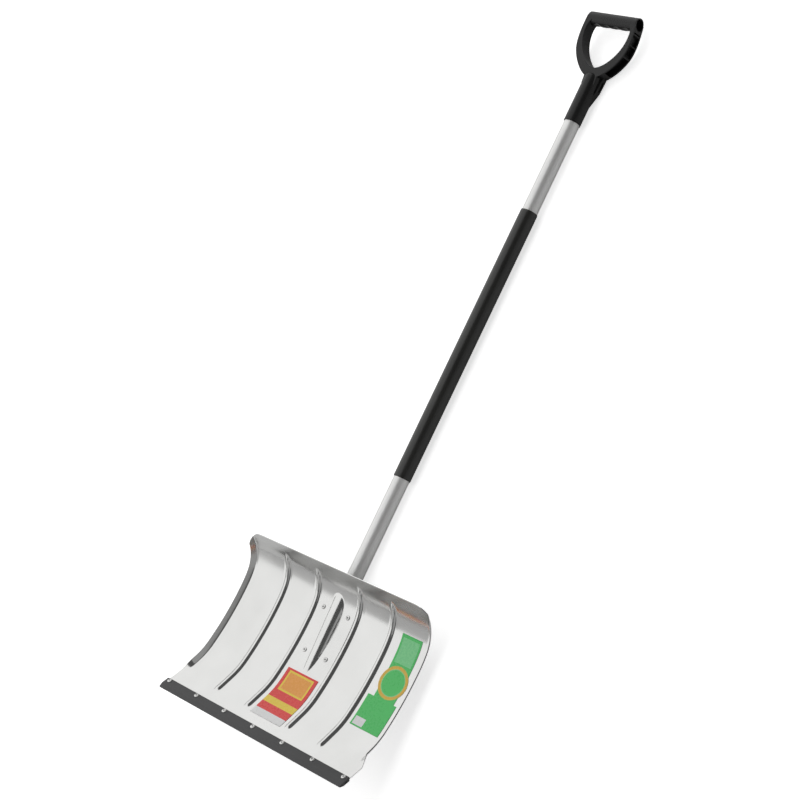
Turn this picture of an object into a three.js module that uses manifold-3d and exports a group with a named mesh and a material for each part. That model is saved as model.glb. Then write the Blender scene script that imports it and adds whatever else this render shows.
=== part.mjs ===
// Snow shovel: a pressed aluminium blade with a riveted wear strip, a round aluminium handle held in a
// riveted bracket, a sleeve and a moulded D-grip. Millimetres. The handle's axis runs along +Y towards
// the grip, the blade's hollow faces +Z, and the shovel lies on its back on the floor.
import * as THREE from "three";
import { mergeVertices } from "three/addons/utils/BufferGeometryUtils.js";
import Module from "manifold-3d";

const wasm = await Module();
wasm.setup();

// ---- overall sizes
const BLADE_WIDTH = 500; // along the wear strip
const SHEET = 1.6; // aluminium sheet thickness
const TUBE_R = 16; // handle tube, outside
const TUBE_WALL = 1.4;
const NECK_Y = 1400; // where the D of the grip starts; heights are counted from the line of edge rivets
const EDGE_Z = 72.8; // height of the sheet's back at the edge rivets, over the handle's axis
const FIT = 0.3; // clearance between seated pieces

// ---- the blade's side profile, from the edge rivets up: straight runs and arcs that turn it forward
const LEAN = -37; // degrees, slope of the lower edge against the handle
const BELOW_RIVETS = 9; // sheet that carries on into the wear strip
const PROFILE = [
  { run: 26 },
  { radius: 250, turn: 6 },
  { run: 21 },
  { radius: 130, turn: 18 },
  { radius: 560, turn: 13 },
  { radius: 230, turn: 7.6 },
  { radius: 83, turn: 49 },
  { run: 24 },
];
const SAG = 0.12; // furthest that a facet of the profile strays from its arc

// ---- blade details
// side edges bent forward and outward: their foot, reach and rise, start, and length of the end fold
const EDGE_FLANGE = { foot: 234, out: 7.5, rise: 9.5, from: 60, fold: 24 };
const CORNER = { x: 34, y: 18 }; // rounded top corners
const RIB = { inner: 56, outer: 142, half: 8, rise: 4.4, start: 30, end: 349 }; // positions along the sheet
// pressed half-cone over the handle's tapered end: lower end, where the taper begins, radius at the lower end
const HUMP = { start: 134, top: 285, low: 13.2 };
const HUMP_R = TUBE_R + FIT + SHEET;

// ---- wear strip and its rivets
const STRIP = { above: 6, below: 20, front: 3.2, back: 2.6, tip: 1.9 };
const EDGE_RIVETS = 7;
const RIVET_PITCH = 80;
const RIVET = { shank: 2.4, head: 4.7, headHeight: 1.6, bore: 1.4, mandrel: 1.1 };

// ---- bracket behind the blade
const BRACKET = { start: 140, nose: 30, top: 292, wall: 1.7, flange: 2, halfLow: 38, halfHigh: 44, flat: 10 };
const BRACKET_RIVETS = [
  { name: "lower", x: 28.5, y: 167 },
  { name: "upper", x: 33, y: 254 },
];

// ---- handle
const TUBE_START = 160; // the tube's tapered lower end, inside the hump
const SLEEVE = { from: 531, to: 1098, wall: 1 };
const SOCKET = { from: 1292, radius: TUBE_R + FIT + 1.1, depth: 1387 };

// ---- D-grip, in its own plane that leans forward from the neck
const GRIP_LEAN = 7.5; // degrees
const GRIP_DEPTH = 27;
const GRIP_WEB = 3; // wall beside the hand opening
const GRIP_RIM = 3.4; // walls along the front and the back of the arms
const BAR = { v: 109, radius: 14, half: 59, bore: 11.5, boreDepth: 24 };
const GROOVES = { count: 4, pitch: 23.5, radius: 15, depth: 2.8 };
const ARM_RIBS = [
  { v: 44, angle: 62 },
  { v: 66, angle: 8 },
  { v: 84, angle: -30 },
];

// ---- blank labels on the blade's front
const LABEL = 0.3; // thickness
const CENTRE_LABEL = { x0: -40, x1: 41, s0: 29, s1: 142 };
const SIDE_LABEL = { x0: 156, x1: 224, s0: 101, s1: 165, bandX0: 170, bandX1: 219, s2: 290, disc: 32, discS: 200 };

// ---- colours
const aluminium = (rough) =>
  new THREE.MeshStandardMaterial({ color: 0xd9dad8, roughness: rough, metalness: 1 });
const satinSheet = aluminium(0.38);
const tubeMetal = aluminium(0.3);
const rivetMetal = aluminium(0.35);
const steelPin = new THREE.MeshStandardMaterial({ color: 0x77777a, roughness: 0.4, metalness: 1 });
const stripPlastic = new THREE.MeshStandardMaterial({ color: 0x3a3a3b, roughness: 0.6, metalness: 0 });
const sleevePlastic = new THREE.MeshStandardMaterial({ color: 0x26262a, roughness: 0.5, metalness: 0 });
const gripPlastic = new THREE.MeshStandardMaterial({ color: 0x1f1f20, roughness: 0.42, metalness: 0 });
const redPaper = new THREE.MeshStandardMaterial({ color: 0xd8473f, roughness: 0.5, metalness: 0 });
const greenPaper = new THREE.MeshStandardMaterial({ color: 0x46b25b, roughness: 0.5, metalness: 0 });

const group = new THREE.Group();
const rad = THREE.MathUtils.degToRad;

// A closed three.js geometry as a solid for cutting and joining.
function solid(geometry) {
  const g = geometry.index ? geometry.toNonIndexed() : geometry.clone();
  g.deleteAttribute("normal");
  g.deleteAttribute("uv");
  const m = mergeVertices(g, 1e-4);
  return new wasm.Manifold(
    new wasm.Mesh({
      numProp: 3,
      vertProperties: m.attributes.position.array,
      triVerts: new Uint32Array(m.index.array),
    }),
  );
}

// A finished solid as a named mesh of the shovel.
function addPiece(name, shape, material) {
  const m = shape.getMesh();
  const g = new THREE.BufferGeometry();
  g.setAttribute("position", new THREE.BufferAttribute(m.vertProperties, 3));
  g.setIndex(new THREE.BufferAttribute(m.triVerts, 1));
  g.computeVertexNormals();
  const mesh = new THREE.Mesh(g, material);
  mesh.name = name;
  group.add(mesh);
}

const joinAll = (solids) => solids.reduce((a, b) => a.add(b));
const polygon = (points) => new THREE.Shape(points.map(([x, y]) => new THREE.Vector2(x, y)));

// A (y, z) outline carried along X.
function alongX(shape, x0, x1) {
  const g = new THREE.ExtrudeGeometry(shape, { depth: x1 - x0, bevelEnabled: false, curveSegments: 10 });
  const axes = new THREE.Matrix4().makeBasis(
    new THREE.Vector3(0, 1, 0),
    new THREE.Vector3(0, 0, 1),
    new THREE.Vector3(1, 0, 0),
  );
  return solid(g.applyMatrix4(axes.setPosition(x0, 0, 0)));
}

// An (x, z) outline carried along Y.
function alongY(points, y0, y1) {
  const g = new THREE.ExtrudeGeometry(polygon(points), { depth: y1 - y0, bevelEnabled: false });
  return solid(g.rotateX(Math.PI / 2).translate(0, y1, 0));
}

// An (x, y) outline carried along Z.
function alongZ(shape, z0, z1, segments = 10) {
  const g = new THREE.ExtrudeGeometry(shape, { depth: z1 - z0, bevelEnabled: false, curveSegments: segments });
  return solid(g.translate(0, 0, z0));
}

// A cylinder on the handle's axis.
function rod(radius, y0, y1, segments = 32) {
  const g = new THREE.CylinderGeometry(radius, radius, y1 - y0, segments);
  return solid(g.translate(0, (y0 + y1) / 2, 0));
}

// ---- the blade's profile

// Point and slope of the sheet's back at a distance along it from the edge rivets.
function along(distance) {
  let y = 0;
  let z = EDGE_Z;
  let slope = rad(LEAN);
  let left = distance;
  for (const part of PROFILE) {
    if (part.run) {
      const d = Math.min(left, part.run);
      y += d * Math.cos(slope);
      z += d * Math.sin(slope);
      left -= d;
    } else {
      const turn = Math.min(left / part.radius, rad(part.turn));
      y += part.radius * (Math.sin(slope + turn) - Math.sin(slope));
      z += part.radius * (Math.cos(slope) - Math.cos(slope + turn));
      slope += turn;
      left -= turn * part.radius;
    }
    if (left <= 1e-9) break;
  }
  return { y, z, slope };
}

// Distances along the sheet at which its facets meet.
function stations() {
  const list = [-BELOW_RIVETS];
  let s = 0;
  for (const part of PROFILE) {
    const length = part.run ?? part.radius * rad(part.turn);
    const steps = part.run ? 1 : Math.ceil(length / Math.sqrt(8 * SAG * part.radius));
    for (let i = 1; i <= steps; i++) list.push(s + (length * i) / steps);
    s += length;
  }
  return list;
}
const STATIONS = stations();
const TOP = STATIONS.at(-1);

// A point a height above the sheet's back, square to it.
function above(distance, height) {
  const p = along(distance);
  return [p.y - height * Math.sin(p.slope), p.z + height * Math.cos(p.slope)];
}

// The band between two heights over the sheet's back, from s0 to s1 along it, x0 to x1 across it.
function layer(low, high, x0, x1, s0 = -BELOW_RIVETS, s1 = TOP) {
  const cuts = [s0, ...STATIONS.filter((s) => s > s0 + 0.5 && s < s1 - 0.5), s1];
  const upper = cuts.map((s) => above(s, high));
  const lower = cuts.map((s) => above(s, low)).reverse();
  return alongX(polygon([...upper, ...lower]), x0, x1);
}

// Everything in front of a height over the sheet's back (side 1), or everything behind it (side -1).
function beyond(height, side) {
  const line = STATIONS.map((s) => above(s, height));
  const far = side * 260;
  return alongX(polygon([...line, [line.at(-1)[0], far], [line[0][0], far]]), -300, 300);
}

// ---- blade

function bladeOutline() {
  const foot = BLADE_WIDTH / 2 - 1;
  const half = EDGE_FLANGE.foot + EDGE_FLANGE.out + 0.6;
  const [top] = above(TOP, SHEET);
  const [fold] = above(EDGE_FLANGE.from, 0);
  const s = new THREE.Shape();
  s.moveTo(-foot, -60);
  s.lineTo(foot, -60);
  s.lineTo(foot, fold);
  s.lineTo(half, fold);
  s.lineTo(half, top - CORNER.y);
  s.absellipse(half - CORNER.x, top - CORNER.y, CORNER.x, CORNER.y, 0, Math.PI / 2, false);
  s.lineTo(CORNER.x - half, top);
  s.absellipse(CORNER.x - half, top - CORNER.y, CORNER.x, CORNER.y, Math.PI / 2, Math.PI, false);
  s.lineTo(-half, fold);
  s.lineTo(-foot, fold);
  return s;
}

// A section of (across, height over the sheet's back) points carried along the sheet.
function sweep(section, s0, s1) {
  const cuts = STATIONS.filter((s) => s > s0 + 2 && s < s1 - 2).length + 2;
  class Line extends THREE.Curve {
    getPoint(t) {
      const p = along(s0 + (s1 - s0) * t);
      return new THREE.Vector3(0, p.y, p.z);
    }
  }
  const outline = polygon(section.map(([x, w]) => [-x, w]));
  const g = new THREE.ExtrudeGeometry(outline, { steps: cuts, extrudePath: new Line(), bevelEnabled: false });
  return solid(g);
}

// A bent side edge, which dies out at its lower end in a three-cornered fold.
function sideFlange(side) {
  const { foot, out, rise, from, fold } = EDGE_FLANGE;
  const slant = Math.hypot(out, rise);
  const [nx, nw] = [(-rise / slant) * SHEET, (out / slant) * SHEET];
  const wall = sweep(
    [
      [foot - 1.5, 0],
      [foot + 0.4, 0],
      [foot + out, rise],
      [foot + out + nx, rise + nw],
      [foot + nx * 0.8, SHEET],
    ].map(([x, w]) => [side * x, w]),
    from,
    TOP - 6,
  );
  const spot = (s, x, w) => new THREE.Vector3(side * x, ...above(s, w));
  const corner = spot(from + 0.7, foot - 0.5, 0.3);
  const lower = spot(from - fold, BLADE_WIDTH / 2 - 2, 0.2).sub(corner);
  const upper = spot(from + 0.7, foot + out - 0.6, rise - 0.3).sub(corner);
  const square = new THREE.Vector3().crossVectors(lower, upper).normalize();
  const gore = new THREE.ExtrudeGeometry(polygon([[0, 0], [1, 0], [0, 1]]), { depth: 1.4, bevelEnabled: false });
  const place = new THREE.Matrix4().makeBasis(lower, upper, square).setPosition(corner);
  return wall.add(solid(gore.applyMatrix4(place)));
}

// A raised rib, or with less than full height its hollow underside.
function rib(x, half, foot, top) {
  const arch = [[x - half, foot]];
  for (let i = 0; i <= 6; i++) {
    const a = Math.PI * (1 - i / 6);
    arch.push([x + half * Math.cos(a), top * Math.sin(a) + SHEET * 0.5]);
  }
  arch.push([x + half, foot]);
  return sweep(arch, RIB.start, RIB.end).intersect(alongZ(capsule(x, half), -60, 160, 8));
}

// The rib's rounded outline seen from the front.
function capsule(x, half) {
  const [low] = above(RIB.start, 0);
  const [high] = above(RIB.end, 0);
  const s = new THREE.Shape();
  s.absarc(x, low + half, half, Math.PI, 2 * Math.PI, false);
  s.absarc(x, high - half * 0.6, half, 0, Math.PI, false);
  return s;
}

// A rod with a round nose at its lower end.
function bullet(radius, from, to, nose) {
  const tip = new THREE.SphereGeometry(radius, 32, 12).scale(1, nose / radius, 1).translate(0, from, 0);
  return rod(radius, from, to).add(solid(tip));
}

// A rod that tapers towards its lower end, inside or outside the hump.
function tapered(inset, from, to) {
  const radius = (y) => HUMP_R - inset - ((HUMP_R - HUMP.low) * Math.max(0, HUMP.top - y)) / (HUMP.top - HUMP.start);
  const profile = [
    [0, from],
    [radius(from), from],
    [HUMP_R - inset, HUMP.top],
    [HUMP_R - inset, to],
    [0, to],
  ].map(([r, y]) => new THREE.Vector2(r, y));
  return solid(new THREE.LatheGeometry(profile, 40));
}

function makeBlade() {
  const half = BLADE_WIDTH / 2 - 1;
  const flat = EDGE_FLANGE.foot - SHEET / 2;
  let sheet = layer(0, SHEET, -flat, flat)
    .add(layer(0, SHEET, -half, half, -BELOW_RIVETS, EDGE_FLANGE.from - EDGE_FLANGE.fold / 2))
    .add(sideFlange(1))
    .add(sideFlange(-1));
  for (const x of [-RIB.outer, -RIB.inner, RIB.inner, RIB.outer]) {
    sheet = sheet
      .add(rib(x, RIB.half, SHEET * 0.4, RIB.rise + SHEET * 0.5))
      .subtract(rib(x, RIB.half - SHEET, -SHEET, RIB.rise - SHEET * 0.5));
  }
  const hump = tapered(0, HUMP.start - 8, HUMP.top + 40).intersect(beyond(0.2, 1));
  const bore = tapered(SHEET, HUMP.start + 4, HUMP.top + 50);
  const outline = alongZ(bladeOutline(), -120, 240);
  return sheet.add(hump).subtract(bore).intersect(outline);
}

// ---- rivets

// Frame on the blade at (x, s) whose Y axis stands square on the sheet's back.
function standOn(x, s) {
  const p = along(s);
  const out = new THREE.Vector3(0, -Math.sin(p.slope), Math.cos(p.slope));
  const side = new THREE.Vector3(1, 0, 0);
  const m = new THREE.Matrix4().makeBasis(side, out, new THREE.Vector3().crossVectors(side, out));
  return m.setPosition(x, p.y, p.z);
}

// Distance along the sheet at which it reaches a height y.
function distanceAt(y) {
  let low = 0;
  let high = TOP;
  for (let i = 0; i < 40; i++) {
    const mid = (low + high) / 2;
    if (along(mid).y < y) low = mid;
    else high = mid;
  }
  return low;
}

function rivetHole(frame) {
  const g = new THREE.CylinderGeometry(RIVET.shank + FIT, RIVET.shank + FIT, 40, 12);
  return solid(g.applyMatrix4(frame));
}

// A blind rivet: domed head in front, clinched bulb behind, bored through.
function rivetBody(frame, front, back) {
  const { shank, head, headHeight, bore } = RIVET;
  const profile = [
    [bore, back - 4],
    [shank + 0.9, back - 3.2],
    [shank + 0.9, back - FIT],
    [shank, back - FIT],
    [shank, front + FIT],
    [head, front + FIT],
    [head * 0.9, front + FIT + headHeight * 0.6],
    [bore + 0.9, front + FIT + headHeight],
    [bore, front + FIT + headHeight],
    [bore, back - 4],
  ].map(([r, h]) => new THREE.Vector2(r, h));
  return solid(new THREE.LatheGeometry(profile, 12).applyMatrix4(frame));
}

// The steel pin left inside a blind rivet.
function rivetPin(frame, front, back) {
  const top = front + 0.4;
  const low = back - 5;
  const g = new THREE.CylinderGeometry(RIVET.mandrel, RIVET.mandrel, top - low, 8);
  return solid(g.translate(0, (top + low) / 2, 0).applyMatrix4(frame));
}

// ---- wear strip

function makeStrip() {
  const f = SHEET + FIT;
  const { above: up, below: down, front, back, tip } = STRIP;
  const section = [
    [up, f],
    [up, f + front * 0.6],
    [up - 1.5, f + front],
    [-down * 0.6, f + front],
    [-down, tip],
    [-down, tip - 1.8],
    [-down * 0.6, -FIT - back],
    [up - 3, -FIT - back],
    [up - 1.5, -FIT - back * 0.5],
    [up - 1.5, -FIT],
    [-BELOW_RIVETS - FIT, -FIT],
    [-BELOW_RIVETS - FIT, f],
  ].map(([s, w]) => above(s, w));
  return alongX(polygon(section), -BLADE_WIDTH / 2, BLADE_WIDTH / 2);
}

// ---- bracket

function bracketOutline() {
  const low = distanceAt(BRACKET.start + 8);
  const y0 = along(low).y;
  const s = new THREE.Shape();
  const { halfLow, halfHigh, top } = BRACKET;
  const corner = 12;
  s.moveTo(-halfLow + corner, y0);
  s.lineTo(halfLow - corner, y0);
  s.quadraticCurveTo(halfLow, y0, halfLow, y0 + corner);
  s.lineTo(halfHigh, top - corner);
  s.quadraticCurveTo(halfHigh, top, halfHigh - corner, top);
  s.lineTo(corner - halfHigh, top);
  s.quadraticCurveTo(-halfHigh, top, -halfHigh, top - corner);
  s.lineTo(-halfLow, y0 + corner);
  s.quadraticCurveTo(-halfLow, y0, -halfLow + corner, y0);
  return s;
}

function makeBracket() {
  const r = TUBE_R + FIT + BRACKET.wall;
  const crown = [
    [-r, 40],
    [-r, -r * 0.45],
    [-BRACKET.flat, -r],
    [BRACKET.flat, -r],
    [r, -r * 0.45],
    [r, 40],
  ];
  const bend = BRACKET.start + BRACKET.nose;
  const channel = alongY(crown, bend, BRACKET.top).add(bullet(r, bend, BRACKET.top, BRACKET.nose));
  const bore = bullet(TUBE_R + FIT, bend, BRACKET.top + 10, BRACKET.nose - BRACKET.wall);
  const slot = alongY(
    [
      [-TUBE_R - FIT, 0],
      [TUBE_R + FIT, 0],
      [TUBE_R + FIT, 60],
      [-TUBE_R - FIT, 60],
    ],
    bend,
    BRACKET.top + 10,
  );
  const plate = layer(-FIT - BRACKET.flange, -FIT, -60, 60).intersect(alongZ(bracketOutline(), -120, 200));
  return channel.intersect(beyond(-FIT, -1)).add(plate).subtract(bore).subtract(slot);
}

// ---- handle

function tube(outer, inner, y0, y1) {
  return rod(outer, y0, y1, 48).subtract(rod(inner, y0 - 1, y1 + 1, 48));
}

// The handle tube: straight, but for its tapered end in the blade.
function makeTube() {
  const to = SOCKET.depth - FIT;
  const skin = SHEET + FIT;
  const bore = skin + TUBE_WALL;
  return tapered(skin, TUBE_START, to).subtract(tapered(bore, TUBE_START - 1, to + 1));
}

// ---- D-grip

// The D's outside, from the neck to the bar.
function gripOuter() {
  const s = new THREE.Shape();
  s.moveTo(-15, -24);
  s.lineTo(15, -24);
  s.lineTo(15, -8);
  s.bezierCurveTo(30, -1, 49, 19, 58, 41);
  s.bezierCurveTo(65, 60, 63.5, 84, 60, 112);
  s.lineTo(-60, 112);
  s.bezierCurveTo(-63.5, 84, -65, 60, -58, 41);
  s.bezierCurveTo(-49, 19, -30, -1, -15, -8);
  return s;
}

// The hand opening, or with a width outwards the web round it.
function handOpening(out) {
  const s = new THREE.Shape();
  const low = 9 - out;
  s.moveTo(0, low);
  s.bezierCurveTo(9 + out, low, 23 + out, 17 - out, 33 + out, 29 - out * 0.7);
  s.bezierCurveTo(46 + out, 44, 54 + out, 62, 54 + out, 82);
  s.bezierCurveTo(54 + out, 93, 52 + out, 97, 48, 102);
  s.lineTo(48, 120);
  s.lineTo(-48, 120);
  s.lineTo(-48, 102);
  s.bezierCurveTo(-52 - out, 97, -54 - out, 93, -54 - out, 82);
  s.bezierCurveTo(-54 - out, 62, -46 - out, 44, -33 - out, 29 - out * 0.7);
  s.bezierCurveTo(-23 - out, 17 - out, -9 - out, low, 0, low);
  return s;
}

// The hollow along the outside of both arms, crossed by stiffening ribs.
function armChannels() {
  const half = GRIP_DEPTH / 2 - GRIP_RIM;
  const around = alongZ(polygon([[-90, 2], [90, 2], [90, 92], [-90, 92]]), -half, half);
  let hollow = around.subtract(alongZ(handOpening(GRIP_WEB), -half - 1, half + 1, 12));
  for (const side of [-1, 1])
    for (const r of ARM_RIBS) {
      const g = new THREE.BoxGeometry(44, 2, GRIP_DEPTH);
      g.rotateZ(side * rad(-r.angle)).translate(side * 56, r.v, 0);
      hollow = hollow.subtract(solid(g));
    }
  return hollow;
}

// The bar the hand closes on, with finger grooves on the opening's side and hollow ends.
function gripBar() {
  const g = new THREE.CylinderGeometry(BAR.radius, BAR.radius, 2 * BAR.half, 32);
  let bar = solid(g.rotateZ(Math.PI / 2).translate(0, BAR.v, 0));
  const { count, pitch, radius, depth } = GROOVES;
  for (let i = 0; i < count; i++) {
    const x = (i - (count - 1) / 2) * pitch;
    const v = BAR.v - BAR.radius + depth - radius;
    const groove = new THREE.CylinderGeometry(radius, radius, 60, 32).rotateX(Math.PI / 2);
    bar = bar.subtract(solid(groove.translate(x, v, 0)));
  }
  return bar;
}

function makeGrip() {
  const ring = alongZ(gripOuter(), -GRIP_DEPTH / 2, GRIP_DEPTH / 2, 12)
    .subtract(alongZ(handOpening(0), -GRIP_DEPTH, GRIP_DEPTH, 12))
    .subtract(armChannels());
  let head = ring.add(gripBar());
  for (const side of [-1, 1]) {
    const g = new THREE.CylinderGeometry(BAR.bore, BAR.bore, 2 * BAR.boreDepth, 24).rotateZ(Math.PI / 2);
    head = head.subtract(solid(g.translate(side * (BAR.half + 2), BAR.v, 0)));
  }
  const leaned = head.rotate([GRIP_LEAN, 0, 0]).translate([0, NECK_Y, 0]);
  const crown = new THREE.SphereGeometry(SOCKET.radius, 32, 16).scale(1, 0.6, 1).translate(0, NECK_Y - 10, 0);
  let socket = rod(SOCKET.radius, SOCKET.from, NECK_Y - 10, 40).add(solid(crown));
  for (const side of [-1, 1]) socket = socket.add(gusset(side));
  return leaned.add(socket).subtract(rod(TUBE_R + FIT, SOCKET.from - 1, SOCKET.depth, 40));
}

// The fin that carries an arm's foot down the socket's side, with a slot pocket in its edge.
function gusset(side) {
  const reach = SOCKET.radius;
  const fin = new THREE.Shape();
  fin.moveTo(side * (reach - 8), NECK_Y - 72);
  fin.lineTo(side * (reach + 3.2), NECK_Y - 34);
  fin.lineTo(side * (reach + 4.4), NECK_Y - 4);
  fin.lineTo(side * (reach - 8), NECK_Y);
  const pocket = new THREE.CylinderGeometry(3.4, 3.4, 6, 16).rotateZ(Math.PI / 2).scale(1, 3.4, 1);
  return alongZ(fin, -13.5, -1).subtract(solid(pocket.translate(side * (reach + 4.6), NECK_Y - 22, -7.2)));
}

// ---- labels

function makeCentreLabel() {
  const { x0, x1, s0, s1 } = CENTRE_LABEL;
  return layer(SHEET + FIT, SHEET + FIT + LABEL, x0, x1, s0, s1);
}

function makeSideLabel() {
  const { x0, x1, s0, s1, bandX0, bandX1, s2, disc, discS } = SIDE_LABEL;
  const low = SHEET + FIT;
  const high = low + LABEL;
  const middle = along(discS).y;
  const round = new THREE.CylinderGeometry(disc, disc, 300, 40).rotateX(Math.PI / 2);
  const spot = solid(round.translate((bandX0 + bandX1) / 2, middle, 0));
  return joinAll([
    layer(low, high, x0, x1, s0, s1),
    layer(low, high, bandX0, bandX1, s1 - 1, s2),
    layer(low, high, bandX0 - 40, bandX1 + 40, s1 - 10, s2).intersect(spot),
  ]);
}

// ---- assembly

const edgeSpots = Array.from({ length: EDGE_RIVETS }, (_, i) => ({
  name: "edge_rivet_" + (i + 1),
  frame: standOn((i - (EDGE_RIVETS - 1) / 2) * RIVET_PITCH, 0),
  front: SHEET + FIT + STRIP.front,
  back: -FIT - STRIP.back,
}));
const bracketSpots = BRACKET_RIVETS.flatMap(({ name, x, y }) =>
  [-1, 1].map((side) => ({
    name: "bracket_rivet_" + name + (side < 0 ? "_left" : "_right"),
    frame: standOn(side * x, distanceAt(y)),
    front: SHEET,
    back: -FIT - BRACKET.flange,
  })),
);
const edgeHoles = joinAll(edgeSpots.map((s) => rivetHole(s.frame)));
const bracketHoles = joinAll(bracketSpots.map((s) => rivetHole(s.frame)));

addPiece("blade", makeBlade().subtract(edgeHoles).subtract(bracketHoles), satinSheet);
addPiece("wear_strip", makeStrip().subtract(edgeHoles), stripPlastic);
addPiece("bracket", makeBracket().subtract(bracketHoles), satinSheet);
addPiece("handle_tube", makeTube(), tubeMetal);
const sleeveBore = TUBE_R + FIT;
addPiece("sleeve", tube(sleeveBore + SLEEVE.wall, sleeveBore, SLEEVE.from, SLEEVE.to), sleevePlastic);
addPiece("d_grip", makeGrip(), gripPlastic);
for (const s of [...edgeSpots, ...bracketSpots]) {
  addPiece(s.name, rivetBody(s.frame, s.front, s.back), rivetMetal);
  addPiece(s.name + "_pin", rivetPin(s.frame, s.front, s.back), steelPin);
}
addPiece("centre_label", makeCentreLabel(), redPaper);
addPiece("side_label", makeSideLabel(), greenPaper);

// The frame's origin is the middle of the box's bottom.
const box = new THREE.Box3().setFromObject(group);
const middle = box.getCenter(new THREE.Vector3());
group.position.set(-middle.x, -middle.y, -box.min.z);

export default group;
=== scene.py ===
# Snow shovel lying on its back: pressed aluminium blade, riveted wear strip, round aluminium handle
# with a black sleeve, and a moulded black D-grip. Metres; the handle runs along +Y.
import math
import bmesh
import bpy
import numpy as np
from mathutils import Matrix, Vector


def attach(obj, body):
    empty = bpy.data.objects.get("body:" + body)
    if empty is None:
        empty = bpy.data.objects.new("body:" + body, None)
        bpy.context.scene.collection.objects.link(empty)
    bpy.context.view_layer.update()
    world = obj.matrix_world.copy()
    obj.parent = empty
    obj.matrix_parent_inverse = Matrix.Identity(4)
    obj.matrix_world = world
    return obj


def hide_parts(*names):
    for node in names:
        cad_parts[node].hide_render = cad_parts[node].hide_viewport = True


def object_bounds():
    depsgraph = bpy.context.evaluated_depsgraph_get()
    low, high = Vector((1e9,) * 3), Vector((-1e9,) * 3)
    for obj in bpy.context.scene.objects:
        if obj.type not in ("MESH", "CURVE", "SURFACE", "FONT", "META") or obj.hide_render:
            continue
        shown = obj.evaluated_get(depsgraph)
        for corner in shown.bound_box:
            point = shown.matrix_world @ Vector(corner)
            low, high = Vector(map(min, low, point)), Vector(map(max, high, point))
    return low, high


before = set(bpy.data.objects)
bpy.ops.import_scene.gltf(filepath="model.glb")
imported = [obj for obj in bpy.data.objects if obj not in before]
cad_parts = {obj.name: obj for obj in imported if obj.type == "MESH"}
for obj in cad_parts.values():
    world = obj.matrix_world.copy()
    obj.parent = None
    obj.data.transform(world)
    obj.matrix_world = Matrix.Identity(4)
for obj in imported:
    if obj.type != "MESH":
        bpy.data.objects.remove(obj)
cad_low, cad_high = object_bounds()
cad_low, cad_high = list(cad_low), list(cad_high)

MM = 0.001
SHIFT_Y = -753.06  # the line of edge rivets, counted from the middle of the shovel
AXIS_Z = 18.0  # height of the handle's axis over the floor
SHEET = 1.6
EDGE_Z = 72.8  # height of the sheet's back at the edge rivets
LEAN = -37.0  # slope of the sheet there, in degrees
PROFILE = [  # straight runs with a length, and arcs with a radius and a turn in degrees
    ("run", 26.0),
    (250.0, 6.0),
    ("run", 21.0),
    (130.0, 18.0),
    (560.0, 13.0),
    (230.0, 7.6),
    (83.0, 49.0),
    ("run", 24.0),
]
TUBE_R = 16.0
TUBE_WALL = 1.4
TUBE_START, TUBE_END = 160.0, 1386.7
SLEEVE_START, SLEEVE_END = 531.0, 1098.0
FIT = 0.3  # gap between seated pieces
RIB_X = (-142.0, -56.0, 56.0, 142.0)
RIB_HALF, RIB_RISE, RIB_START, RIB_END = 8.0, 4.4, 30.0, 352.0
HUMP_LOW, HUMP_TOP, HUMP_R, HUMP_R_LOW = 134.0, 285.0, 17.9, 13.2
HUMP_SKIRT = 26.0  # how far the close columns reach from the handle's axis
FLANGE_FOOT, FLANGE_OUT, FLANGE_RISE = 234.0, 7.5, 9.5
FLANGE_FROM, FLANGE_FOLD = 60.0, 24.0
CORNER_X, CORNER_S = 36.0, 33.0
BELOW_RIVETS = 9.0  # sheet that carries on into the strip
RIVET_PITCH, RIVET_HEAD, RIVET_SHANK, RIVET_RISE = 80.0, 4.7, 2.4, 1.6
STRIP_HALF, STRIP_FRONT, STRIP_BACK = 250.0, 3.2, 2.6
BRACKET_FLANGE = 2.0
BRACKET_RIVETS = (("lower", 28.5, 167.0), ("upper", 33.0, 254.0))
LABEL = 0.3  # thickness of a label film

CARD, GREY_CARD, LOW_CARD, END_CARD = 1.22, 0.54, 0.42, 0.6  # brightness of the glowing cards
FLOOR_GLOW = 0.66  # added to the floor where the camera sees it
AMBIENT = 0.10  # brightness of the room in mirrored and bounced light


# ---------------------------------------------------------------- shape helpers
def to_row(x, y, z):
    """Millimetres about the handle's axis and the edge rivets, to metres in the shovel's own frame."""
    return np.stack([x, y + SHIFT_Y, z + AXIS_Z], axis=-1) * MM


def along(s):
    """Point and slope of the sheet's back at distance s: straight runs and arcs joined end to end."""
    s = np.asarray(s, float)
    y, z, slope, start = 0.0, EDGE_Z, math.radians(LEAN), 0.0
    out_y, out_z, out_a = np.zeros_like(s), np.zeros_like(s), np.zeros_like(s)
    for i, (kind, amount) in enumerate(PROFILE):
        first, last = i == 0, i == len(PROFILE) - 1
        length = amount if kind == "run" else kind * math.radians(amount)
        here = (s >= start - (1e9 if first else 0)) & (s < start + length + (1e9 if last else 0))
        d = s - start
        if kind == "run":
            out_y = np.where(here, y + d * math.cos(slope), out_y)
            out_z = np.where(here, z + d * math.sin(slope), out_z)
            out_a = np.where(here, slope, out_a)
            y, z = y + length * math.cos(slope), z + length * math.sin(slope)
        else:
            a = slope + d / kind
            out_y = np.where(here, y + kind * (np.sin(a) - math.sin(slope)), out_y)
            out_z = np.where(here, z + kind * (math.cos(slope) - np.cos(a)), out_z)
            out_a = np.where(here, a, out_a)
            end = slope + math.radians(amount)
            y += kind * (math.sin(end) - math.sin(slope))
            z += kind * (math.cos(slope) - math.cos(end))
            slope = end
        start += length
    return out_y, out_z, out_a


TOP = sum(a if k == "run" else k * math.radians(a) for k, a in PROFILE)


def above(s, w):
    """Points a height w over the sheet's back at distance s: the back plus w times its normal."""
    y, z, a = along(s)
    return y - w * np.sin(a), z + w * np.cos(a)


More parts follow.
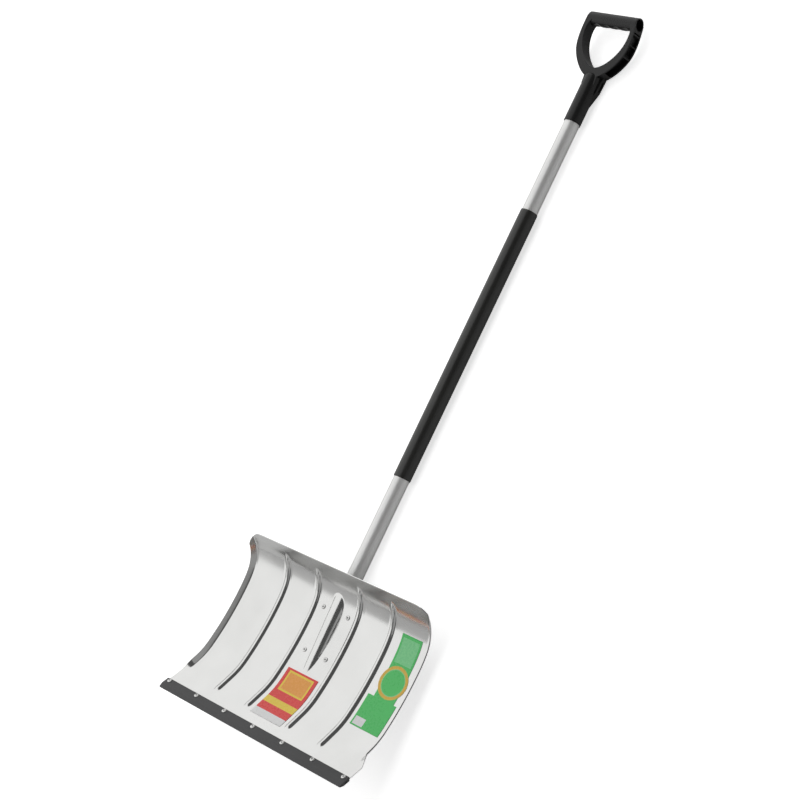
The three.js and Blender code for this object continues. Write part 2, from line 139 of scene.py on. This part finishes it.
def distance_at(y_wanted):
    s = np.linspace(0, TOP, 4001)
    return float(np.interp(y_wanted, along(s)[0], s))


def smooth(t):
    t = np.clip(t, 0, 1)
    return t * t * (3 - 2 * t)


def add_mesh(name, verts, faces, material, replaces, angle):
    """A closed piece from whole arrays of corners and faces, riding on the shovel."""
    me = bpy.data.meshes.new(name)
    me.from_pydata(verts.reshape(-1, 3).tolist(), [], [list(map(int, f)) for f in faces])
    me.validate()
    me.update()
    me.shade_smooth()
    ob = bpy.data.objects.new(name, me)
    bpy.context.scene.collection.objects.link(ob)
    me.set_sharp_from_angle(angle=math.radians(angle))
    me.materials.append(material)
    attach(ob, "root")
    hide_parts(*replaces)
    return ob


def grid_faces(n, m, wrap_n=False, wrap_m=False, base=0, flip=False):
    """Quads of an n by m grid of corners, joined round where wrap is set."""
    i, j = np.meshgrid(np.arange(n if wrap_n else n - 1), np.arange(m if wrap_m else m - 1), indexing="ij")
    i2, j2 = (i + 1) % n, (j + 1) % m
    q = np.stack([i * m + j, i2 * m + j, i2 * m + j2, i * m + j2], axis=-1).reshape(-1, 4) + base
    return q[:, ::-1] if flip else q


def lathe(profile, segments, frame_axes, origin):
    """A closed solid of revolution: corner k at angle t is (r cos t, r sin t, h) in the given axes."""
    r = np.array([p[0] for p in profile], float)
    h = np.array([p[1] for p in profile], float)
    t = np.linspace(0, 2 * np.pi, segments, endpoint=False)
    ax, ay, az = (np.array(v, float) for v in frame_axes)
    pts = (
        origin
        + (r[:, None] * np.cos(t))[..., None] * ax
        + (r[:, None] * np.sin(t))[..., None] * ay
        + (h[:, None] + 0 * t)[..., None] * az
    )
    return pts, grid_faces(len(r), segments, wrap_m=True, wrap_n=True)


# ---------------------------------------------------------------- materials
def new_material(name):
    m = bpy.data.materials.new(name)
    m.use_nodes = True
    nt = m.node_tree
    bsdf = next(n for n in nt.nodes if n.type == "BSDF_PRINCIPLED")
    return m, nt, bsdf


def node(nt, kind, **values):
    n = nt.nodes.new(kind)
    for k, v in values.items():
        if hasattr(n, k):
            setattr(n, k, v)
        else:
            n.inputs[k.replace("_", " ")].default_value = v
    return n


def wear_group():
    """Fine grain and blotches: takes coordinates, gives a roughness, a shade and a height."""
    g = bpy.data.node_groups.new("surface wear", "ShaderNodeTree")
    g.interface.new_socket("Vector", in_out="INPUT", socket_type="NodeSocketVector")
    g.interface.new_socket("Scale", in_out="INPUT", socket_type="NodeSocketFloat")
    g.interface.new_socket("Stretch", in_out="INPUT", socket_type="NodeSocketVector")
    g.interface.new_socket("Low", in_out="INPUT", socket_type="NodeSocketFloat")
    g.interface.new_socket("High", in_out="INPUT", socket_type="NodeSocketFloat")
    g.interface.new_socket("Roughness", in_out="OUTPUT", socket_type="NodeSocketFloat")
    g.interface.new_socket("Shade", in_out="OUTPUT", socket_type="NodeSocketFloat")
    g.interface.new_socket("Height", in_out="OUTPUT", socket_type="NodeSocketFloat")
    i, o = g.nodes.new("NodeGroupInput"), g.nodes.new("NodeGroupOutput")
    mul = node(g, "ShaderNodeVectorMath", operation="MULTIPLY")
    g.links.new(i.outputs["Vector"], mul.inputs[0])
    g.links.new(i.outputs["Stretch"], mul.inputs[1])
    fine = node(g, "ShaderNodeTexNoise", Detail=4.0, Roughness=0.6)
    g.links.new(mul.outputs[0], fine.inputs["Vector"])
    g.links.new(i.outputs["Scale"], fine.inputs["Scale"])
    broad = node(g, "ShaderNodeTexNoise", Scale=9.0, Detail=3.0, Roughness=0.55)
    g.links.new(i.outputs["Vector"], broad.inputs["Vector"])
    mix = node(g, "ShaderNodeMath", operation="MULTIPLY_ADD")
    mix.inputs[1].default_value = 0.5
    half = node(g, "ShaderNodeMath", operation="MULTIPLY")
    half.inputs[1].default_value = 0.5
    g.links.new(broad.outputs["Fac"], half.inputs[0])
    g.links.new(fine.outputs["Fac"], mix.inputs[0])
    g.links.new(half.outputs[0], mix.inputs[2])
    span = node(g, "ShaderNodeMapRange")
    span.inputs["From Min"].default_value = 0.3
    span.inputs["From Max"].default_value = 0.7
    g.links.new(mix.outputs[0], span.inputs["Value"])
    g.links.new(i.outputs["Low"], span.inputs["To Min"])
    g.links.new(i.outputs["High"], span.inputs["To Max"])
    g.links.new(span.outputs["Result"], o.inputs["Roughness"])
    g.links.new(broad.outputs["Fac"], o.inputs["Shade"])
    g.links.new(fine.outputs["Fac"], o.inputs["Height"])
    return g


WEAR = wear_group()
GRAIN_DEPTH = 0.0002
EVEN = (1, 1, 1)  # grain that runs in no direction


def finish_with_wear(nt, bsdf, colour, dark, low, high, scale, stretch, bump):
    """Joins the shared wear to one material: its roughness range, two tones and the depth of its grain."""
    tc = nt.nodes.new("ShaderNodeTexCoord")
    w = nt.nodes.new("ShaderNodeGroup")
    w.node_tree = WEAR
    nt.links.new(tc.outputs["Object"], w.inputs["Vector"])
    w.inputs["Scale"].default_value = scale
    w.inputs["Stretch"].default_value = stretch
    w.inputs["Low"].default_value = low
    w.inputs["High"].default_value = high
    nt.links.new(w.outputs["Roughness"], bsdf.inputs["Roughness"])
    ramp = nt.nodes.new("ShaderNodeMix")
    ramp.data_type = "RGBA"
    ramp.inputs[6].default_value = (*dark, 1)
    ramp.inputs[7].default_value = (*colour, 1)
    tone = nt.nodes.new("ShaderNodeMapRange")
    tone.inputs["From Min"].default_value = 0.3
    tone.inputs["From Max"].default_value = 0.62
    nt.links.new(w.outputs["Shade"], tone.inputs["Value"])
    nt.links.new(tone.outputs["Result"], ramp.inputs[0])
    nt.links.new(ramp.outputs[2], bsdf.inputs["Base Color"])
    b = nt.nodes.new("ShaderNodeBump")
    b.inputs["Strength"].default_value = bump
    b.inputs["Distance"].default_value = GRAIN_DEPTH
    nt.links.new(w.outputs["Height"], b.inputs["Height"])
    nt.links.new(b.outputs["Normal"], bsdf.inputs["Normal"])


def metal(name, colour, dark, low, high, scale, stretch, bump, metallic=1.0):
    m, nt, bsdf = new_material(name)
    bsdf.inputs["Metallic"].default_value = metallic
    finish_with_wear(nt, bsdf, colour, dark, low, high, scale, stretch, bump)
    return m


def plastic(name, colour, dark, low, high, scale, bump, gloss=0.5):
    m, nt, bsdf = new_material(name)
    bsdf.inputs["Metallic"].default_value = 0.0
    bsdf.inputs["Specular IOR Level"].default_value = gloss
    finish_with_wear(nt, bsdf, colour, dark, low, high, scale, EVEN, bump)
    return m


SHEET_METAL = metal(
    "rolled aluminium sheet", (0.64, 0.64, 0.63), (0.60, 0.60, 0.59), 0.15, 0.23, 60, (1, 14, 1), 0.03
)
TUBE_METAL = metal(
    "drawn aluminium tube", (0.80, 0.80, 0.79), (0.74, 0.74, 0.73), 0.30, 0.42, 90, (1, 0.06, 1), 0.05, 0.45
)
RIVET_METAL = metal("rivet aluminium", (0.66, 0.66, 0.65), (0.54, 0.54, 0.53), 0.22, 0.38, 300, EVEN, 0.08)
PIN_METAL = metal("rivet pin steel", (0.30, 0.30, 0.31), (0.16, 0.16, 0.16), 0.35, 0.55, 400, EVEN, 0.1)
STRIP_PLASTIC = plastic(
    "wear strip plastic", (0.058, 0.058, 0.060), (0.040, 0.040, 0.041), 0.42, 0.60, 500, 0.25
)
SLEEVE_PLASTIC = plastic("sleeve film", (0.022, 0.022, 0.020), (0.016, 0.016, 0.015), 0.28, 0.36, 420, 0.10)
GRIP_PLASTIC = plastic(
    "grip plastic", (0.013, 0.013, 0.013), (0.009, 0.009, 0.009), 0.22, 0.36, 600, 0.18, gloss=0.3
)


def tinted_film(name, low, high):
    """A printed film whose blocks of colour are held in the corner attribute called tint."""
    m, nt, bsdf = new_material(name)
    finish_with_wear(nt, bsdf, (1, 1, 1), (0.92, 0.92, 0.92), low, high, 240, EVEN, 0.03)
    tint = nt.nodes.new("ShaderNodeAttribute")
    tint.attribute_name = "tint"
    mix = nt.nodes.new("ShaderNodeMix")
    mix.data_type = "RGBA"
    mix.blend_type = "MULTIPLY"
    mix.inputs[0].default_value = 1.0
    old = bsdf.inputs["Base Color"].links[0].from_socket
    nt.links.new(tint.outputs["Color"], mix.inputs[6])
    nt.links.new(old, mix.inputs[7])
    nt.links.new(mix.outputs[2], bsdf.inputs["Base Color"])
    return m


LABEL_FILM = tinted_film("printed label film", 0.22, 0.34)


# ---------------------------------------------------------------- blade
def hump_radius(y):
    """Radius of the half-cone over the handle's end: it falls in a straight line below HUMP_TOP."""
    fall = (HUMP_R - HUMP_R_LOW) / (HUMP_TOP - HUMP_LOW)
    return HUMP_R - fall * np.maximum(0.0, HUMP_TOP - y)


def blade_columns():
    """Across the blade: close lines over the hump, each rib and each side edge, wide steps between."""
    crown, shoulder, skirt = np.linspace(0, 0.8, 7), [0.88, 0.93, 0.965, 0.985, 1.0], np.linspace(0.06, 1, 6)
    hump = np.concatenate([crown, shoulder, 1 + skirt])
    ribs = [c + np.linspace(-RIB_HALF, RIB_HALF, 15) for c in RIB_X[2:]]
    flats = [np.linspace(30, 46, 4), np.linspace(70, 130, 9), np.linspace(156, 228, 10)]
    plain = np.sort(np.concatenate([*ribs, *flats]))
    edge = np.array([0.0, 0.06, 0.12, 0.2, 0.35, 0.55, 0.75, 0.9, 1.0])
    kinds = np.concatenate([np.zeros(len(hump)), np.ones(len(plain)), np.full(len(edge), 2.0)])
    values = np.concatenate([hump, plain, edge])
    return np.concatenate([kinds[:0:-1], kinds]), np.concatenate([-values[:0:-1], values])


def rib_height(x, s):
    """A rib is a raised cosine of the distance q from its centre line: rise (1 + cos(pi q / half)) / 2."""
    h = np.zeros_like(x)
    for c in RIB_X:
        over = np.maximum(0, np.maximum(RIB_START + RIB_HALF - s, s - (RIB_END - 3 * RIB_HALF))
                          * np.where(s > 200, 0.45, 1.0))
        q = np.minimum(np.hypot(x - c, over) / RIB_HALF, 1.0)
        h = np.maximum(h, RIB_RISE * 0.5 * (1 + np.cos(np.pi * q**1.15)))
    return h


def make_blade():
    """Front of the sheet P(s) + (thickness + rib) n(s), lifted over the half-cone z = sqrt(R(y)^2 - x^2);
    the back is the front moved in by the thickness along its own normals, and a rim joins the two."""
    kind, value = blade_columns()
    fold_start, last = FLANGE_FROM - FLANGE_FOLD, 366.4
    rows = np.unique(np.concatenate([
        np.linspace(-BELOW_RIVETS, fold_start, 10),
        np.linspace(fold_start, FLANGE_FROM, 9),
        np.linspace(FLANGE_FROM, last, 150),
    ]))
    s, k = np.meshgrid(rows, kind, indexing="ij")
    v = np.broadcast_to(value, s.shape)
    side = np.broadcast_to(np.where(np.arange(len(kind)) < len(kind) // 2, -1.0, 1.0), s.shape)
    y0, _, _ = along(s)
    r = hump_radius(y0)
    u = np.abs(v)
    x_hump = np.where(u <= 1, u * r, r + (u - 1) * (HUMP_SKIRT - r))
    fold = np.clip((s - fold_start) / FLANGE_FOLD, 0, 1)
    flat_reach = 15.0
    reach = flat_reach + (FLANGE_OUT - flat_reach) * fold
    x_edge = FLANGE_FOOT + u * reach
    bend = 0.015  # rounds the flange's foot
    full = FLANGE_RISE * fold
    rise = full * np.sqrt(np.clip(u, 0, 1) ** 2 + bend) - full * math.sqrt(bend) * (1 - u)
    x = side * np.where(k == 0, x_hump, np.where(k == 1, u, x_edge))
    lift = np.where(k == 2, rise, 0.0)
    t = np.clip((np.abs(x) - (FLANGE_FOOT + FLANGE_OUT - CORNER_X)) / CORNER_X, 0, 1)
    cut = CORNER_S * (1 - np.sqrt(1 - 0.985 * t**2))
    corner_start, corner_length = 276.0, 90.0
    s = s - cut * smooth((s - corner_start) / corner_length)
    y, z = above(s, SHEET + rib_height(x, s) + lift)
    cone = np.sqrt(np.maximum(hump_radius(y) ** 2 - x**2, 0.0))
    soft = 0.5
    blend = 0.5 * (z + cone + np.sqrt((z - cone) ** 2 + soft**2)) - soft * 0.5 * np.exp(-np.abs(z - cone) / soft)
    z = np.where((np.abs(x) < 24) & (y > 100) & (y < 300), np.maximum(blend, z), z)
    front = np.stack([x, y, z], axis=-1)
    n = np.cross(np.gradient(front, axis=1), np.gradient(front, axis=0))
    n /= np.linalg.norm(n, axis=-1, keepdims=True) + 1e-12
    back = front - SHEET * n
    rows_n, cols_n = s.shape
    both = np.stack([front, back])
    verts = to_row(both[..., 0], both[..., 1], both[..., 2])
    count = rows_n * cols_n
    index = np.arange(count).reshape(rows_n, cols_n)
    ring = np.concatenate([index[0, :], index[1:, -1], index[-1, -2::-1], index[-2:0:-1, 0]])
    nxt = np.roll(ring, -1)
    rim = np.stack([ring, ring + count, nxt + count, nxt], axis=-1)
    faces = np.concatenate([
        grid_faces(rows_n, cols_n, flip=True),
        grid_faces(rows_n, cols_n, base=count),
        rim,
    ])
    return add_mesh("blade_skin", verts, faces, SHEET_METAL, ("blade",), angle=50)


# ---------------------------------------------------------------- round pieces
AXES_Y = ((1, 0, 0), (0, 0, 1), (0, 1, 0))


def on_handle(profile, segments=128):
    """A solid of revolution about the handle's axis, from (radius, y) corners."""
    pts, faces = lathe(profile, segments, AXES_Y, np.zeros(3))
    return to_row(pts[..., 0], pts[..., 1], pts[..., 2]), faces


def make_tube():
    outer, inner, edge = TUBE_R, TUBE_R - TUBE_WALL, 0.3
    slim = TUBE_R - (HUMP_R - hump_radius(TUBE_START))
    profile = [(slim - edge, TUBE_START), (slim, TUBE_START + edge), (outer, HUMP_TOP), (outer, TUBE_END - edge),
               (outer - edge, TUBE_END), (inner, TUBE_END), (inner, HUMP_TOP), (slim - TUBE_WALL, TUBE_START)]
    verts, faces = on_handle(profile)
    return add_mesh("tube_skin", verts, faces, TUBE_METAL, ("handle_tube",), angle=35)


def make_sleeve():
    inner, outer, low, high = TUBE_R + FIT, TUBE_R + FIT + 1.0, SLEEVE_START, SLEEVE_END
    verts, faces = on_handle([
        (inner, low + 0.2), (outer - 0.4, low), (outer - 0.05, low + 0.6), (outer, low + 2),
        (outer, high - 2), (outer - 0.05, high - 0.6), (outer - 0.4, high), (inner, high - 0.2),
    ])
    return add_mesh("sleeve_skin", verts, faces, SLEEVE_PLASTIC, ("sleeve",), angle=50)


def make_rivet(name, x, s, front, back):
    """A domed head r(h) = a quarter circle with a sunk middle round the pin, and the clinched tail behind."""
    y, z, a = (float(v) for v in along(s))
    base = np.array([x, y, z])
    axes = ((1, 0, 0), (0, math.cos(a), math.sin(a)), (0, -math.sin(a), math.cos(a)))
    seat, tail, bore, bulb = front + FIT, back - FIT, 1.4, 3.3
    dome = [(RIVET_HEAD * math.cos(q), seat + RIVET_RISE * math.sin(q)) for q in np.linspace(0, 1.15, 9)]
    body = [(RIVET_SHANK, seat), *dome, (bore + 0.35, front + 1.7), (bore, front + 1.3), (bore, back - 4),
            (bulb - 0.7, back - 4), (bulb, back - 3.2), (bulb, back - 0.6), (bulb - 0.4, tail), (RIVET_SHANK, tail)]
    pts, faces = lathe(body, 40, axes, base)
    verts = to_row(pts[..., 0], pts[..., 1], pts[..., 2])
    add_mesh(name + "_body", verts, faces[:, ::-1], RIVET_METAL, (name,), angle=40)
    closed, pin_r = 1e-3, 1.1  # a vanishing radius closes each end
    pin = [(closed, front + 0.55), (pin_r - 0.4, front + 0.5), (pin_r, front + 0.3), (pin_r, back - 4.6),
           (pin_r - 0.3, back - 5), (closed, back - 5)]
    pts, faces = lathe(pin, 24, axes, base)
    verts = to_row(pts[..., 0], pts[..., 1], pts[..., 2])
    add_mesh(name + "_stem", verts, faces, PIN_METAL, (name + "_pin",), angle=40)


def make_rivets():
    for i in range(7):
        x = (i - 3) * RIVET_PITCH
        make_rivet(f"edge_rivet_{i + 1}", x, 0.0, SHEET + FIT + STRIP_FRONT, -FIT - STRIP_BACK)
    for level, x, y in BRACKET_RIVETS:
        for side, hand in ((-1, "left"), (1, "right")):
            name = f"bracket_rivet_{level}_{hand}"
            make_rivet(name, side * x, distance_at(y), SHEET, -FIT - BRACKET_FLANGE)


# ---------------------------------------------------------------- wear strip
def rounded(points, radius, steps=4):
    """A closed outline with each corner replaced by a quadratic curve that starts a radius before it."""
    p = np.array(points, float)
    out = []
    for a, b, c in zip(np.roll(p, 1, axis=0), p, np.roll(p, -1, axis=0)):
        ba, bc = a - b, c - b
        la, lc = np.linalg.norm(ba), np.linalg.norm(bc)
        d = min(radius, 0.45 * la, 0.45 * lc)
        start, end = b + ba / la * d, b + bc / lc * d
        for t in np.linspace(0, 1, steps):
            out.append((1 - t) ** 2 * start + 2 * t * (1 - t) * b + t**2 * end)
    return np.array(out)


def make_strip():
    """The strip's section in (distance, height) about the sheet's edge, carried along X; its ends draw in."""
    f, b, slot = SHEET + FIT, -FIT, -BELOW_RIVETS - FIT
    section = rounded([
        (6, f), (6, f + 1.9), (4.5, f + STRIP_FRONT), (-12, f + STRIP_FRONT), (-20, 1.9), (-20, 0.1),
        (-12, b - STRIP_BACK), (3, b - STRIP_BACK), (4.5, -1.6), (4.5, b), (slot, b), (slot, f),
    ], 0.9)
    end = STRIP_HALF - np.array([0.8, 0.2, 0.0])
    x = np.concatenate([-end[::-1], np.linspace(2 - STRIP_HALF, STRIP_HALF - 2, 63), end])
    pull = np.clip(1 - (STRIP_HALF - np.abs(x)) / 2.0, 0, 1) ** 2 * 0.5
    centre = section.mean(axis=0)
    sec = section[None] + (centre - section)[None] * (pull[:, None, None] * 0.16)
    y, z = above(sec[..., 0], sec[..., 1])
    verts = to_row(x[:, None] + 0 * y, y, z)
    m, n = y.shape
    side = grid_faces(m, n, wrap_m=True)
    caps = [list(range(n)), list(range((m - 1) * n, m * n))[::-1]]
    faces = [list(q) for q in side[:, ::-1]] + [c[::-1] for c in caps]
    return add_mesh("strip_skin", verts, faces, STRIP_PLASTIC, ("wear_strip",), angle=40)


# ---------------------------------------------------------------- labels
RED, YELLOW, GOLD = (0.86, 0.06, 0.055), (0.95, 0.70, 0.07), (0.93, 0.40, 0.07)
WHITE, RING = (0.9, 0.9, 0.9), (0.80, 0.50, 0.06)
GREEN, LIGHT_GREEN = (0.075, 0.62, 0.14), (0.22, 0.72, 0.30)


def label_sheet(name, inside, tint, x_ends, s_ends, step, replaces):
    """A thin film on the sheet: cells of a regular grid that lie inside its outline, each with one tint."""
    xs, ss = (np.linspace(a, b, round((b - a) / step) + 1) for a, b in (x_ends, s_ends))
    gs, gx = np.meshgrid(ss, xs, indexing="ij")
    cs, cx = (gs[:-1, :-1] + gs[1:, 1:]) / 2, (gx[:-1, :-1] + gx[1:, 1:]) / 2
    keep = inside(cx, cs)
    low = SHEET + FIT
    corners = []
    for w in (low + LABEL, low):
        y, z = above(gs, w)
        corners.append(to_row(gx, y, z))
    verts = np.stack(corners)
    count = gs.size
    index = np.arange(count).reshape(gs.shape)
    q = np.stack([index[:-1, :-1], index[:-1, 1:], index[1:, 1:], index[1:, :-1]], axis=-1)
    top = q[keep]
    padded = np.pad(keep, 1)
    sides, owners = [], []
    edges = {(-1, 0): (0, 1), (0, 1): (1, 2), (1, 0): (2, 3), (0, -1): (3, 0)}
    for (di, dj), (a, b) in edges.items():
        neighbour = padded[1 + di:1 + di + keep.shape[0], 1 + dj:1 + dj + keep.shape[1]]
        open_side = keep & ~neighbour
        e = q[open_side]
        sides.append(np.stack([e[:, b], e[:, a], e[:, a] + count, e[:, b] + count], axis=-1))
        owners.append(open_side)
    faces = np.concatenate([top, top[:, ::-1] + count, *sides])
    colour = tint(cx, cs)
    per_face = np.concatenate([colour[keep], colour[keep], *[colour[o] for o in owners]])
    used, inverse = np.unique(faces, return_inverse=True)
    flat = verts.reshape(-1, 3)[used]
    ob = add_mesh(name, flat, inverse.reshape(-1, 4), LABEL_FILM, replaces, angle=30)
    data = np.ones((len(faces), 4, 4))
    data[:, :, :3] = per_face[:, None, :]
    layer = ob.data.color_attributes.new(name="tint", type="FLOAT_COLOR", domain="CORNER")
    layer.data.foreach_set("color", data.ravel())


def blocks(base, *boxes):
    """A tint made of a base colour with later boxes (x0, x1, s0, s1, colour) painted over earlier ones."""
    def tint(x, s):
        out = np.zeros(x.shape + (3,)) + base
        for x0, x1, s0, s1, colour in boxes:
            out[(x > x0) & (x < x1) & (s > s0) & (s < s1)] = colour
        return out
    return tint


def make_centre_label():
    """Two bands and a framed block on a red ground."""
    def everywhere(x, s):
        return np.ones_like(x, bool)

    red = blocks(
        RED,
        (-32, 33, 95, 138, YELLOW),
        (-28, 29, 99, 134, GOLD),
        (-41, 42, 62, 77, YELLOW),
        (-41, 42, 29, 45, WHITE),
    )
    label_sheet("centre_label_film", everywhere, red, (-40, 41), (29, 142), 1.0, ("centre_label",))


def make_side_label():
    """A panel, a narrower band and a disc with a ring, joined into one film."""
    mid_x, mid_s, disc, ring, line = 194.5, 200.0, 32.0, 26.0, 24.5

    def outline(x, s):
        panel, band = s < 165, (x > 170) & (x < 219) & (s < 290)
        return panel | band | (np.hypot(x - mid_x, s - mid_s) < disc)

    def green(x, s):
        out = blocks(GREEN, (160, 184, 104, 120, WHITE), (174, 215, 236, 284, LIGHT_GREEN))(x, s)
        q = np.hypot(x - mid_x, s - mid_s)
        out[(q > ring) & (q < disc)] = RING
        out[(q < ring) & (q > line)] = LIGHT_GREEN
        out[q < line] = GREEN
        return out

    label_sheet("side_label_film", outline, green, (156, 226.6), (101, 290), 0.9, ("side_label",))


# ---------------------------------------------------------------- grip and bracket
def smooth_copy(node_name, name, material):
    """A node's own shape, its corners merged and flat faces joined, shaded smooth over its round parts."""
    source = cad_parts[node_name].data
    co = np.empty(len(source.vertices) * 3)
    source.vertices.foreach_get("co", co)
    tri = np.empty(len(source.polygons) * 3, dtype=np.int64)
    source.polygons.foreach_get("vertices", tri)
    corners, inverse = np.unique(np.round(co.reshape(-1, 3), 7), axis=0, return_inverse=True)
    faces = inverse.reshape(-1)[tri].reshape(-1, 3)
    whole = (faces[:, 0] != faces[:, 1]) & (faces[:, 1] != faces[:, 2]) & (faces[:, 0] != faces[:, 2])
    ob = add_mesh(name, corners, faces[whole], material, (node_name,), angle=32)
    bm = bmesh.new()
    bm.from_mesh(ob.data)
    bmesh.ops.dissolve_limit(bm, angle_limit=math.radians(0.5), verts=bm.verts, edges=bm.edges)
    bm.to_mesh(ob.data)
    bm.free()
    ob.data.set_sharp_from_angle(angle=math.radians(32))


# ---------------------------------------------------------------- studio
def softbox(name, corner_a, corner_b, corner_c, strength):
    """A flat glowing card given by three corners; it lights and is mirrored, but isn't seen directly."""
    a, b, c = (np.array(v, float) for v in (corner_a, corner_b, corner_c))
    me = bpy.data.meshes.new(name)
    me.from_pydata([tuple(a), tuple(b), tuple(b + c - a), tuple(c)], [], [(0, 1, 2, 3)])
    m, nt, bsdf = new_material(name)
    nt.nodes.remove(bsdf)
    e = nt.nodes.new("ShaderNodeEmission")
    e.inputs["Color"].default_value = (1, 1, 1, 1)
    e.inputs["Strength"].default_value = strength
    nt.links.new(e.outputs[0], next(n for n in nt.nodes if n.type == "OUTPUT_MATERIAL").inputs["Surface"])
    me.materials.append(m)
    o = bpy.data.objects.new(name, me)
    o.visible_camera = False
    bpy.context.scene.collection.objects.link(o)


def studio():
    scene = bpy.context.scene
    scene.view_settings.view_transform = "Standard"
    world = bpy.data.worlds.new("studio")
    scene.world = world
    world.use_nodes = True
    bg = world.node_tree.nodes["Background"]
    bg.inputs["Color"].default_value = (1.0, 1.0, 1.0, 1)
    wnt = world.node_tree
    seen = wnt.nodes.new("ShaderNodeLightPath")
    level = wnt.nodes.new("ShaderNodeMapRange")
    level.inputs["To Min"].default_value = AMBIENT
    level.inputs["To Max"].default_value = 1.0
    wnt.links.new(seen.outputs["Is Camera Ray"], level.inputs["Value"])
    wnt.links.new(level.outputs["Result"], bg.inputs["Strength"])
    me = bpy.data.meshes.new("floor")
    half = 14
    me.from_pydata([(-half, -half, 0), (half, -half, 0), (half, half, 0), (-half, half, 0)], [], [(0, 1, 2, 3)])
    m, nt, bsdf = new_material("floor")
    bsdf.inputs["Base Color"].default_value = (0.9, 0.9, 0.9, 1)
    bsdf.inputs["Roughness"].default_value = 0.9
    bsdf.inputs["Specular IOR Level"].default_value = 0.0
    bsdf.inputs["Emission Color"].default_value = (1, 1, 1, 1)
    seen = nt.nodes.new("ShaderNodeLightPath")
    glow = nt.nodes.new("ShaderNodeMath")
    glow.operation = "MULTIPLY"
    glow.inputs[1].default_value = FLOOR_GLOW
    nt.links.new(seen.outputs["Is Camera Ray"], glow.inputs[0])
    nt.links.new(glow.outputs[0], bsdf.inputs["Emission Strength"])
    me.materials.append(m)
    floor = bpy.data.objects.new("floor", me)
    scene.collection.objects.link(floor)
    x0, x1, y0, y1, y2, top = -3.0, 0.2, -9.0, -3.1, 7.0, 3.2
    right, low, middle, high = 4.2, 0.05, 2.3, 5.2
    softbox("side card", (x0, y1, low), (x0, y2, low), (x0, y1, top), CARD)
    softbox("top card", (x0, y1, top), (x1, y1, top), (x0, y2, top), CARD)
    softbox("grey side card", (x0, y0, low), (x0, y1, low), (x0, y0, top), GREY_CARD)
    softbox("low card", (right, -6.0, low), (right, y2, low), (right, -6.0, middle), LOW_CARD)
    softbox("far side card", (right, y0, middle), (right, -2.2, middle), (right, y0, high), LOW_CARD)
    softbox("end card", (x0, y0, low), (right, y0, low), (x0, y0, 4.4), END_CARD)
    softbox("grey top card", (x0, y0, top), (x1, y0, top), (x0, y1, top), GREY_CARD)
    cam_data = bpy.data.cameras.new("camera")
    cam = bpy.data.objects.new("camera", cam_data)
    scene.collection.objects.link(cam)
    cam_data.lens = 86.0
    cam_data.sensor_width = 36.0
    cam_data.clip_end = 100
    cam.location = (2.3378, -0.5297, 2.724)
    cam.rotation_mode = "XYZ"
    cam.rotation_euler = tuple(math.radians(a) for a in (26.712, 34.213, 31.368))
    scene.camera = cam


make_blade()
make_tube()
make_sleeve()
make_strip()
make_rivets()
make_centre_label()
make_side_label()
smooth_copy("d_grip", "grip_moulding", GRIP_PLASTIC)
smooth_copy("bracket", "bracket_pressing", SHEET_METAL)
studio()
